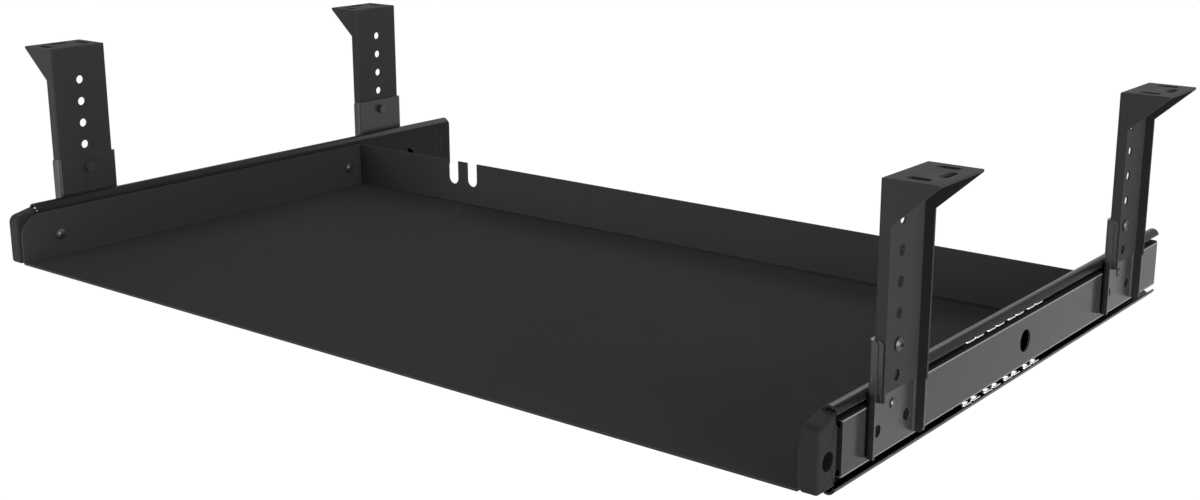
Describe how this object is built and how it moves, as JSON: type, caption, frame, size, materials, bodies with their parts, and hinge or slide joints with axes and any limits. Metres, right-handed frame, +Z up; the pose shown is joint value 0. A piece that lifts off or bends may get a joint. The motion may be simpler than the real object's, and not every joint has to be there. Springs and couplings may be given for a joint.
{
  "type": "under-desk keyboard tray",
  "caption": "Pull-out keyboard tray of folded sheet steel on ball bearing slides, hung under a desk from height-adjustable legs.",
  "frame": {"origin": "centre of the four legs' contact faces with the desk, midway between the left and right legs and between the front and rear legs", "axes": "+X to the user's right, +Y away from the user towards the back of the desk, +Z up; the tray pulls out along -Y"},
  "size_m": [0.64, 0.3861, 0.1335],
  "materials": {
    "leg_steel": "fine-textured black powder coat",
    "sleeve_steel": "fine-textured black powder coat",
    "tray_steel": "satin black powder coat",
    "rail_steel": "smooth black coated slide steel",
    "screw_steel": "black zinc",
    "rivet_steel": "black zinc",
    "bumper_plastic": "moulded black, matt",
    "cage_steel": "bright zinc",
    "ball_steel": "polished"
  },
  "bodies": {
    "legs": {"post_front_left": "leg_steel", "post_front_right": "leg_steel", "post_rear_left": "leg_steel", "post_rear_right": "leg_steel", "sleeve_front_left": "sleeve_steel", "sleeve_front_right": "sleeve_steel", "sleeve_rear_left": "sleeve_steel", "sleeve_rear_right": "sleeve_steel", "fixed_rail_left": "rail_steel", "fixed_rail_right": "rail_steel", "height_screws": "screw_steel", "height_nuts": "screw_steel", "rail_rivets": "rivet_steel"},
    "tray": {"tray_pan": "tray_steel", "tray_rail_left": "rail_steel", "tray_rail_right": "rail_steel", "bumper_left": "bumper_plastic", "bumper_right": "bumper_plastic", "tray_screws": "screw_steel"},
    "cage_left": {"ball_cage_left": "cage_steel", "balls_left": "ball_steel"},
    "cage_right": {"ball_cage_right": "cage_steel", "balls_right": "ball_steel"}
  },
  "joints": [
    {"name": "tray_slide", "type": "slide", "parent": "legs", "child": "tray", "axis": [0, -1, 0], "range_m": [0, 0.22]},
    {"name": "cage_left_slide", "type": "slide", "parent": "legs", "child": "cage_left", "axis": [0, -1, 0], "range_m": [0, 0.11]},
    {"name": "cage_right_slide", "type": "slide", "parent": "legs", "child": "cage_right", "axis": [0, -1, 0], "range_m": [0, 0.11]}
  ],
  "couplings": [
    {"joint": "cage_left_slide", "follows": "tray_slide", "ratio": 0.5},
    {"joint": "cage_right_slide", "follows": "tray_slide", "ratio": 0.5}
  ]
}
